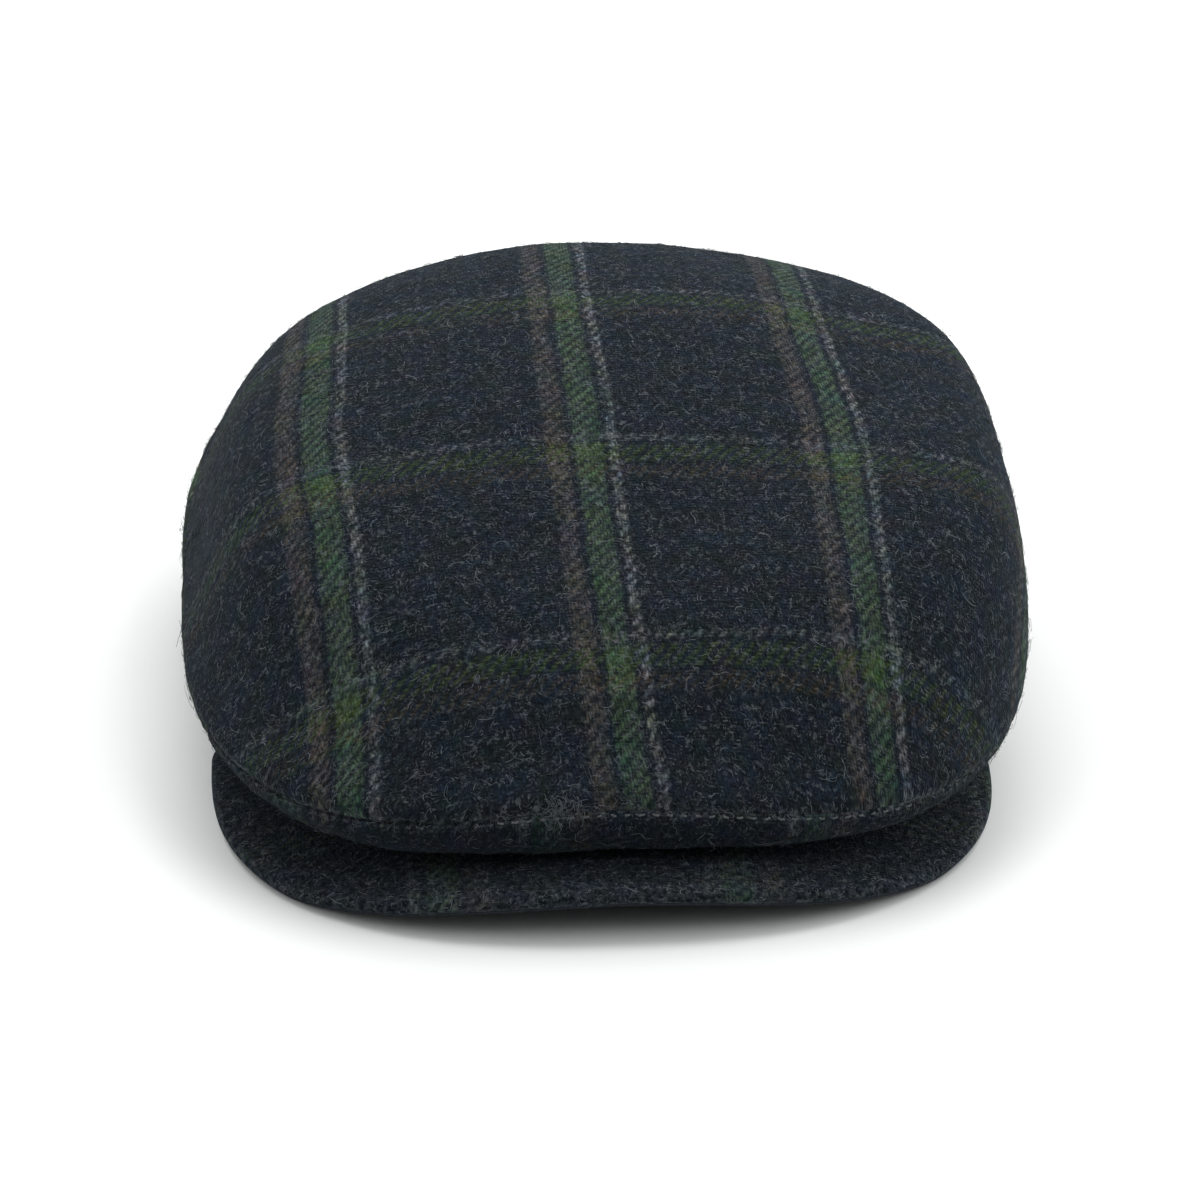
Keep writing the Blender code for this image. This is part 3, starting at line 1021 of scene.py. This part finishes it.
def cloth_mesh(name, grid, cloth, lift, marks, finish, closed=False):
    """A face of cloth on a grid of points, lifted along its own outward directions.

    marks holds what the materials and the nap read: how rubbed each point is, how far its stripes
    have sunk into the ground, and how thick its loose fibres are; on the front band the first two also
    hold painted shade. closed joins the last column to the first, and makes the last row one point.
    """
    rows, columns = grid.shape[:2]
    number = np.arange(rows * columns).reshape(rows, columns)
    keep = rows * columns
    if closed:
        number[-1] = keep - columns
        keep += 1 - columns
        number = np.hstack([number, number[:, :1]])
    corners = [number[:-1, :-1], number[:-1, 1:], number[1:, 1:], number[1:, :-1]]
    faces = np.stack(corners, -1).reshape(-1, 4).tolist()
    faces = [face[:3] if face[2] == face[3] else face for face in faces]
    mesh = bpy.data.meshes.new(name)
    points = grid.reshape(-1, 3)[:keep]
    mesh.from_pydata(points.tolist(), [], faces)
    normals = values_of(mesh.vertex_normals, "vector", 3)
    fill(mesh.vertices, "co", points + normals * lift.reshape(-1)[:keep, None])
    corner = values_of(mesh.loops, "vertex_index", kind=np.int32)
    fill(mesh.uv_layers.new(name="cloth").data, "uv", cloth.reshape(-1, 2)[:keep][corner])
    for label, values in marks.items():
        layer = mesh.attributes.new(label, "FLOAT", "POINT")
        fill(layer.data, "value", values.reshape(-1)[:keep])
    mesh.materials.append(cap_material(finish))
    mesh.update()
    mesh.shade_smooth()
    return mesh


def cloth_piece(name, mesh, thickness):
    """An object of cloth that stands for the model's solid of the same name."""
    piece = linked(name + "_cloth", mesh)
    wall = piece.modifiers.new("thickness", "SOLIDIFY")
    wall.thickness = thickness
    wall.offset = -1.0
    wall.use_even_offset = True
    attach(piece, BODY)
    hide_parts(name)
    flat = values_of(mesh.uv_layers["cloth"].data, "uv", 2)
    return piece


def top_panel_mesh(sizes):
    """The whole top of the crown, from the seam up to the crest."""
    degrees = np.linspace(-180.0, 180.0, TOP_COLUMNS, endpoint=False)
    seam = seam_position(degrees)
    close = seam + ring_share(degrees, seam) * (seam_steps()[:, None] + SEAM_INSET)
    rise = np.linspace(0.0, 1.0, TOP_ROWS)[1:, None] ** TOP_CROWDING
    position = np.vstack([close, close[-1] + (CREST - close[-1]) * rise])
    grid = crown_points(degrees[None, :], position)
    distance = run_along(grid)
    flat = top_panel_cloth(grid.reshape(-1, 3), position.reshape(-1))
    lift = waves(grid, sizes.softness, TOP_WAVES) * (1.0 - fading(distance, TOP_WAVES_START))
    lift += waves(grid, sizes.softness, TOP_PUCKERS) * fading(distance, TOP_PUCKERS_END)
    lift += seam_roll(distance, sizes)
    marks = {
        "worn": bell(distance, WORN_WIDTH) * WORN,
        "faded": TOP_FADED * fading(distance, TOP_FADED_REACH),
        "fuzz": fuzz_near(grid, distance, TUFTS),
    }
    return cloth_mesh("top_panel", grid, flat, lift, marks, napped_check, closed=True)


def wall_mesh(sizes, name, start, end, turned):
    """A panel between the hem and the seam of the top panel, from one direction to another."""
    near = seam_steps()
    ends = angle_share(np.array([start, end]), np.array([BULGE, BULGE]))
    first = start + near * ends[0]
    last = (end - near * ends[1])[::-1]
    inner = np.linspace(first[-1], last[0], int((end - start) / WALL_SPACING))
    degrees = np.r_[first[:-1], inner, last[1:]]
    seam = seam_position(degrees)
    close = seam - ring_share(degrees, seam) * (near[::-1, None] + SEAM_INSET)
    low = np.linspace(0.0, 1.0, WALL_ROWS)[:-1, None] ** WALL_CROWDING
    position = np.vstack([HEM + (close[0] - HEM) * low, close])
    grid = crown_points(degrees[None, :], position)
    below = run_along(grid[::-1])[::-1]
    around = round_crown(grid, degrees)
    to_end = np.minimum(around - around[:, :1], around[:, -1:] - around)
    distance = np.minimum(below, to_end)
    lift = waves(grid, sizes.softness, WALL_PUCKERS)
    lift *= 1.0 - fading(below, WALL_PUCKERS_START)
    lift += seam_roll(distance, sizes)
    lift[0] = 0.0
    worn = bell(distance, WORN_WIDTH) * WORN
    if turned:
        flat = np.stack((BAND_STRIPE - around, BAND_CROSS + below), -1)
        # Below its seam the front band is darkened and its stripes dulled: painted shade of the hollow
        # under the crown's bulge, above the peak.
        shaded = 1.0 - fading(below, BAND_SHADE_REACH)
        # A narrow dark line just under the seam, left of the crease's end: painted shade, as in a
        # crease.
        crease = CREASE_SHADE * bell(below - CREASE_DROP, CREASE_WIDTH)
        worn -= shaded + crease / (1.0 + np.exp((degrees - CREASE_END) / CREASE_SOFTNESS))
        faded = BAND_FADED + BAND_SHADE_FADED * shaded
    else:
        flat = np.stack((around - SIDE_STRIPE, SIDE_CROSS - below), -1)
        faded = 0.0 * distance
    marks = {"worn": worn, "faded": faded, "fuzz": fuzz_near(grid, distance, TUFTS)}
    return cloth_mesh(name, grid, flat, lift, marks, napped_check)


def peak_mesh(sizes, name, upper):
    """One cloth of the peak. The upper one is rolled over the edge, down to the seam."""
    degrees = np.linspace(-PEAK_SWEEP, PEAK_SWEEP, PEAK_COLUMNS)
    outward = edge_normal(degrees) * PEAK_RADIUS
    edge = peak_outer(degrees) - outward
    gap = math.degrees(0.1 * MM / PEAK_RADIUS)
    roll_rows, face_rows = PEAK_TOP_ROWS if upper else PEAK_UNDER_ROWS
    shares = np.linspace(0.0, 1.0, face_rows)[1:] ** PEAK_CROWDING
    if upper:
        level, height = 90.0, PEAK_THICKNESS
        angles = np.linspace(PEAK_SEAM_ANGLE + gap, level, roll_rows)
    else:
        level, height = -90.0, 0.0
        angles = np.linspace(level, PEAK_SEAM_ANGLE - gap, roll_rows)
        shares = shares[::-1]
    # Each row has its points and where they come to lie when the roll is laid flat.
    rolled = []
    for angle in angles:
        unrolled = edge + outward * math.radians(abs(level - angle))
        rolled.append((on_roll(degrees, angle), unrolled))
    faces = [(row, row) for row in (peak_face(degrees, share, height) for share in shares)]
    rows = rolled + faces if upper else faces + rolled
    grid, spread = (np.stack(part) for part in zip(*rows))
    cloth = (spread[..., :2] - PEAK_STRIPES) * (-PEAK_SPREAD, -1.0)
    run = run_along(grid)
    distance = run if upper else run[-1] - run
    lift = waves(grid, sizes.softness, PEAK_WAVES)
    lift *= 1.0 - fading(distance, PEAK_WAVES_START)
    lift += 0.5 * seam_roll(distance * 1.5, sizes)
    rubbed = bell(distance - 2.0 * MM, 2.0 * MM) * 0.3
    marks = {
        "worn": np.maximum(rubbed, bell(distance, 0.9 * MM) * 0.6) + PEAK_WORN,
        "faded": np.full(distance.shape, PEAK_FADED),
        "fuzz": fuzz_near(grid, distance, ()),
    }
    finish = napped_check if upper else plain_twill
    return cloth_mesh(name, grid, cloth, lift, marks, finish)


def seam_line(name, points, normals):
    """A polyline with outward directions, for the stitches."""
    mesh = bpy.data.meshes.new(name)
    edges = [(i, i + 1) for i in range(len(points) - 1)]
    mesh.from_pydata(points.tolist(), edges, [])
    layer = mesh.attributes.new("outward", "FLOAT_VECTOR", "POINT")
    fill(layer.data, "vector", normals)
    return mesh


# ---- Sizes and colours that a user may change ----


def length(name, description, default, **more):
    """A length property."""
    more.update(name=name, description=description, default=default)
    return FloatProperty(subtype="DISTANCE", unit="LENGTH", **more)


def amount(name, description, default, **more):
    """A plain number that isn't below nought."""
    return FloatProperty(name=name, description=description, default=default, min=0.0, **more)


def paint(name, description, default):
    """A colour property."""
    words = {"name": name, "description": description, "default": default}
    return FloatVectorProperty(subtype="COLOR", size=3, min=0.0, max=1.0, **words)


class FlatCapSizes(bpy.types.PropertyGroup):
    """Sizes of the cloth and its seams."""

    crown_cloth: length("Crown Cloth", "Thickness of the crown's cloth", 2.0 * MM)
    peak_cloth: length("Peak Cloth", "Thickness of the peak's two cloths", 1.6 * MM)
    softness: length("Softness", "Height of the soft waves in the crown", 0.9 * MM)
    seam_depth: length("Seam Depth", "How far the cloth dips into a seam", 0.8 * MM)
    seam_roll: length("Seam Roll", "Width of a seam's rolled edge", 1.5 * MM)
    stitch_pitch: length("Stitch Pitch", "Distance from one stitch to the next", 3.37 * MM)
    stitch_length: length("Stitch Length", "Length of a stitch", 1.25 * MM)
    stitch_thickness: length("Stitch Thickness", "Thickness of the seam thread", 0.5 * MM)


class FlatCapCheck(bpy.types.PropertyGroup):
    """The weave, the check and its colours."""

    warp_pitch: length("Warp Pitch", "Width of a lengthwise thread", 0.83 * MM, precision=5)
    weft_pitch: length("Weft Pitch", "Width of a cross thread", 1.0 * MM, precision=5)
    warp_repeat: length("Warp Repeat", "Width of the check", 66.4 * MM)
    weft_repeat: length("Weft Repeat", "Length of the check", 71.5 * MM)
    ground: paint("Ground", "Heather navy of the ground", (0.0105, 0.0146, 0.0205))
    warp_brown: paint("Warp Brown", "Brown stripe along the cloth", (0.05, 0.047, 0.045))
    warp_green: paint("Warp Green", "Green stripe along the cloth", (0.04, 0.064, 0.042))
    warp_grey: paint("Warp Grey", "Grey stripe along the cloth", (0.095, 0.105, 0.108))
    weft_brown: paint("Weft Brown", "Brown stripe across the cloth", (0.043, 0.037, 0.028))
    weft_green: paint("Weft Green", "Green stripe across the cloth", (0.037, 0.056, 0.022))
    weft_grey: paint("Weft Grey", "Grey stripe across the cloth", (0.095, 0.108, 0.114))
    fleck: paint("Fleck", "Light fibres in the cloth", (0.15, 0.172, 0.188))
    thread: paint("Thread", "Fluffy thread of the seams", (0.15, 0.16, 0.165))
    dark: paint("Dark Twill", "Cloth under the peak", (0.01, 0.013, 0.02))
    sheen: amount("Sheen", "Sheen of the nap", 0.03, max=1.0)


class FlatCapNap(bpy.types.PropertyGroup):
    """The loose fibres of the cloth."""

    density: amount("Nap Density", "Short fibres to a square metre", 110000.0)
    shortest: length("Shortest", "Shortest fibre of the nap", 0.8 * MM)
    longest: length("Longest", "Longest fibre of the nap", 2.6 * MM)
    thickness: length("Thickness", "Thickness of a fibre", 0.11 * MM, precision=5)
    hair_density: amount("Hair Density", "Long fibres to a square metre", 9000.0)
    hair_shortest: length("Shortest Hair", "Shortest of the long fibres", 4.0 * MM)
    hair_longest: length("Longest Hair", "Longest of the long fibres", 9.0 * MM)
    seed: IntProperty(name="Seed", description="Draws another set of fibres", default=4, min=0)


# ---- Operators: one for each piece or group of like pieces, and one for the stage ----


class FLATCAP_OT_crown(bpy.types.Operator):
    """Lay the four cloth panels of the crown"""

    bl_idname = "flat_cap.crown"
    bl_label = "Crown Panels"

    def execute(self, context):
        sizes = context.scene.flat_cap_sizes
        thick = sizes.crown_cloth
        walls = (
            ("front_band", BAND_LEFT, BAND_RIGHT, True),
            ("side_panel_right", BAND_RIGHT, 180.0, False),
            ("side_panel_left", -180.0, BAND_LEFT, False),
        )
        for name, start, end, turned in walls:
            mesh = wall_mesh(sizes, name, start, end, turned)
            cloth_piece(name, mesh, thick)
        cloth_piece("top_panel", top_panel_mesh(sizes), thick)
        return {"FINISHED"}


class FLATCAP_OT_peak(bpy.types.Operator):
    """Lay the upper and the under cloth of the peak"""

    bl_idname = "flat_cap.peak"
    bl_label = "Peak Cloths"

    def execute(self, context):
        sizes = context.scene.flat_cap_sizes
        thick = sizes.peak_cloth
        under = peak_mesh(sizes, "peak_under", False)
        cloth_piece("peak_under", under, thick)
        upper = peak_mesh(sizes, "peak_top", True)
        cloth_piece("peak_top", upper, thick)
        return {"FINISHED"}


class FLATCAP_OT_seams(bpy.types.Operator):
    """Sew the stitches that show along the front seam"""

    bl_idname = "flat_cap.seams"
    bl_label = "Seam Stitches"

    def execute(self, context):
        sizes = context.scene.flat_cap_sizes
        degrees = np.linspace(*STITCHED, SEAM_STEPS)
        seam = seam_position(degrees)
        share = ring_share(degrees, seam)
        below = crown_points(degrees, seam - share * STITCH_DROP * MM)
        down = below - crown_points(degrees, seam - share * (STITCH_DROP + 1.0) * MM)
        outward = unit(np.cross(np.gradient(below, axis=0), down))
        line = seam_line("front_seam", below - outward * STITCH_DEPTH * MM, outward)
        values = {
            "Pitch": sizes.stitch_pitch,
            "Length": sizes.stitch_length,
            "Thickness": sizes.stitch_thickness,
            "Material": cap_material(seam_thread),
            "Seed": 3,
        }
        piece = grown("front_seam_stitches", line, stitch_tree, values)
        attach(piece, BODY)
        return {"FINISHED"}


class FLATCAP_OT_nap(bpy.types.Operator):
    """Grow the loose fibres on every cloth"""

    bl_idname = "flat_cap.nap"
    bl_label = "Wool Nap"

    def execute(self, context):
        nap = context.scene.flat_cap_nap
        # Each kind's thickness of growth, shortest, longest, rise, curl and points.
        kinds = {
            "nap": (nap.density, nap.shortest, nap.longest, 0.55 * MM, 1.3 * MM, 5),
            "hairs": (nap.hair_density, nap.hair_shortest, nap.hair_longest, 1.1 * MM, 5.0 * MM, 12),
        }
        inputs = ("Density", "Shortest", "Longest", "Rise", "Curl", "Points")
        names = ("top_panel", "front_band", "side_panel_right", "side_panel_left", "peak_top")
        for number, name in enumerate(names):
            cloth = bpy.data.objects[name + "_cloth"].data
            for kind, sizes in kinds.items():
                values = {
                    **dict(zip(inputs, sizes)),
                    "Thickness": nap.thickness,
                    "Seed": nap.seed + number,
                    "Material": cap_material(loose_fibre),
                }
                piece = grown(f"{name}_{kind}", cloth, fibre_tree, values)
                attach(piece, BODY)
        return {"FINISHED"}


FLOOR_HALF = 6.0
FLOOR_COLOUR = (0.86, 0.88, 0.87, 1.0)
SKY_COLOUR = (0.96, 1.0, 0.99, 1.0)
SKY_STRENGTH = 0.035
# The lamps: name, place in metres, turn in degrees and power in watts. All are one size.
LAMPS = (
    ("back", (0.0, 0.8, 1.2), (-34.0, 0.0, 0.0), 30.0),
    ("left", (-1.1, -0.2, 0.9), (0.0, -50.0, 0.0), 12.0),
    ("right", (1.1, -0.2, 0.9), (0.0, 50.0, 0.0), 21.0),
)
LAMP_SIZE = 1.8
LENS = {"lens": 147.96, "shift_x": -0.0026, "shift_y": -0.0495}
# The camera looks at this place, in millimetres, from this far and these directions.
LOOKED_AT = (1.1, 0.0, 45.0)
VIEW_DISTANCE = 1.3
VIEW_AZIMUTH = -3.5
VIEW_ELEVATION = 25.0


class FLATCAP_OT_stage(bpy.types.Operator):
    """Set the floor, the lights and the camera"""

    bl_idname = "flat_cap.stage"
    bl_label = "Stage"

    def execute(self, context):
        scene = context.scene
        mesh = bpy.data.meshes.new("floor")
        turns = ((-1.0, -1.0), (1.0, -1.0), (1.0, 1.0), (-1.0, 1.0))
        corners = [(x * FLOOR_HALF, y * FLOOR_HALF, 0.0) for x, y in turns]
        mesh.from_pydata(corners, [], [(0, 1, 2, 3)])
        pale = {"Base Color": FLOOR_COLOUR, "Roughness": 0.6}
        mesh.materials.append(new_material("pale_floor", pale)[0])
        linked("floor", mesh)

        scene.world = bpy.data.worlds.new("studio")
        scene.world.use_nodes = True
        sky = {"Color": SKY_COLOUR, "Strength": SKY_STRENGTH}
        put(scene.world.node_tree.nodes["Background"], sky)
        for name, place, turn, power in LAMPS:
            lamp = bpy.data.lights.new(name, "AREA")
            lamp.size = LAMP_SIZE
            lamp.energy = power
            light = linked(name, lamp)
            light.location = place
            light.rotation_euler = Euler([math.radians(angle) for angle in turn])

        view = bpy.data.cameras.new("camera")
        for name, value in LENS.items():
            setattr(view, name, value)
        azimuth = math.radians(VIEW_AZIMUTH)
        elevation = math.radians(VIEW_ELEVATION)
        level = math.cos(elevation)
        away = (math.sin(azimuth) * level, -math.cos(azimuth) * level, math.sin(elevation))
        camera = linked("camera", view)
        camera.location = Vector(LOOKED_AT) * MM + Vector(away) * VIEW_DISTANCE
        camera.rotation_mode = "QUATERNION"
        camera.rotation_quaternion = (-Vector(away)).to_track_quat("-Z", "Y")
        scene.camera = camera
        scene.view_settings.view_transform = "Standard"
        return {"FINISHED"}


class FLATCAP_PT_sidebar(bpy.types.Panel):
    """Lists the steps that build the cap, and their sizes"""

    bl_idname = "FLATCAP_PT_sidebar"
    bl_label = "Flat Cap"
    bl_space_type = "VIEW_3D"
    bl_region_type = "UI"
    bl_category = "Flat Cap"

    def draw(self, context):
        for step in STEPS:
            self.layout.operator(step.bl_idname)
        for group, kind in GROUPS.items():
            box = self.layout.box()
            for name in kind.__annotations__:
                box.prop(getattr(context.scene, group), name)


STEPS = (
    FLATCAP_OT_crown,
    FLATCAP_OT_peak,
    FLATCAP_OT_seams,
    FLATCAP_OT_nap,
    FLATCAP_OT_stage,
)
GROUPS = {
    "flat_cap_sizes": FlatCapSizes,
    "flat_cap_check": FlatCapCheck,
    "flat_cap_nap": FlatCapNap,
}


def register():
    """Adds the property groups, the operators and the panel."""
    for name, group in GROUPS.items():
        bpy.utils.register_class(group)
        setattr(bpy.types.Scene, name, PointerProperty(type=group))
    for made in (*STEPS, FLATCAP_PT_sidebar):
        bpy.utils.register_class(made)


def unregister():
    """Takes them away again."""
    for made in (FLATCAP_PT_sidebar, *reversed(STEPS)):
        bpy.utils.unregister_class(made)
    for name, group in reversed(GROUPS.items()):
        delattr(bpy.types.Scene, name)
        bpy.utils.unregister_class(group)


def main():
    """Builds the cap and its stage."""
    register()
    bpy.ops.flat_cap.crown()
    bpy.ops.flat_cap.peak()
    bpy.ops.flat_cap.seams()
    bpy.ops.flat_cap.nap()
    bpy.ops.flat_cap.stage()


if __name__ == "__main__":
    main()
